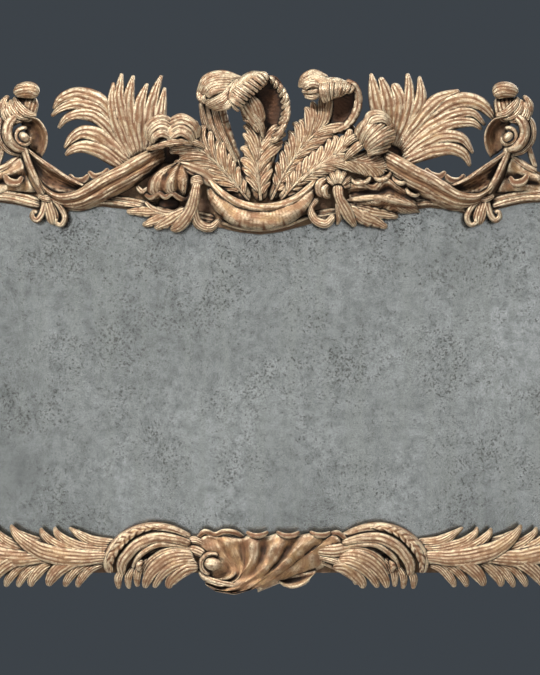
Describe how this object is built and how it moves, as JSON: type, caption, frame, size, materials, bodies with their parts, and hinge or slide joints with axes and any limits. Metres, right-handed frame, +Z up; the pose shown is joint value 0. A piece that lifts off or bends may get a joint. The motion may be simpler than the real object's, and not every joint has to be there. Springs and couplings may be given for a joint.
{
  "type": "overmantel mirror",
  "caption": "Wide overmantel mirror in a carved and gilded rococo frame, with a plumed and draped crest, a twisted leaf base and two hanging rings behind.",
  "frame": {"origin": "middle of the back, on the centre muntin's rear face, level with the middle of the mirror plate", "axes": "+X to the viewer's right along the width, -Y out of the front, +Z up; the wall is the plane y = 0"},
  "size_m": [1.5594, 0.1304, 1.0469],
  "materials": {
    "gilt": "carved, gessoed and water-gilded, rubbed to the brown clay on its edges and hollows",
    "pine": "bare planed pine, darkened with age",
    "plate_glass": "clear, faintly grey-green",
    "silvering": "tin and mercury silvering, greyed and foxed",
    "brass": "dull brass",
    "steel": "dull slotted screws"
  },
  "bodies": {
    "frame": {"top_rail": "pine", "bottom_rail": "pine", "left_stile": "pine", "right_stile": "pine", "centre_muntin": "pine", "backboard_left": "pine", "backboard_right": "pine", "glazing_block_top_left": "pine", "glazing_block_top_right": "pine", "glazing_block_right": "pine", "glazing_block_bottom_right": "pine", "glazing_block_bottom_left": "pine", "glazing_block_left": "pine", "glass_plate": "plate_glass", "silvering": "silvering", "backboard_screw_left_bottom": "steel", "backboard_screw_left_top": "steel", "backboard_screw_right_bottom": "steel", "backboard_screw_right_top": "steel", "hanger_screw_left_upper": "steel", "hanger_screw_left_lower": "steel", "hanger_screw_right_upper": "steel", "hanger_screw_right_lower": "steel", "hanger_strap_left": "brass", "hanger_strap_right": "brass", "crest_board": "gilt", "lower_sight_rail": "gilt", "plume_bowl": "gilt", "feather_centre": "gilt", "feather_left": "gilt", "feather_right": "gilt", "feather_low_left": "gilt", "feather_low_right": "gilt", "palm_spray_left": "gilt", "palm_spray_right": "gilt", "scroll_stem_left": "gilt", "scroll_stem_right": "gilt", "ribbon_left": "gilt", "ribbon_right": "gilt", "bloom": "gilt", "leaf_sprig_left": "gilt", "leaf_sprig_right": "gilt", "rocaille_shell": "gilt", "top_moulding_left": "gilt", "top_moulding_right": "gilt", "drip_left": "gilt", "drip_right": "gilt", "top_shoulder_left": "gilt", "top_shoulder_right": "gilt", "base_knot": "gilt", "base_scroll_left": "gilt", "base_scroll_right": "gilt", "leaf_run_left": "gilt", "leaf_run_right": "gilt", "bottom_corner_left": "gilt", "bottom_corner_right": "gilt", "side_carving_left": "gilt", "side_carving_right": "gilt"},
    "left_ring": {"hanger_ring_left": "brass"},
    "right_ring": {"hanger_ring_right": "brass"}
  },
  "joints": [
    {"name": "left_ring_swing", "type": "hinge", "parent": "frame", "child": "left_ring", "pos_m": [-0.7, -0.0082, 0.206], "axis": [1, 0, 0], "range_deg": [0, 180]},
    {"name": "right_ring_swing", "type": "hinge", "parent": "frame", "child": "right_ring", "pos_m": [0.7, -0.0082, 0.206], "axis": [1, 0, 0], "range_deg": [0, 180]}
  ]
}
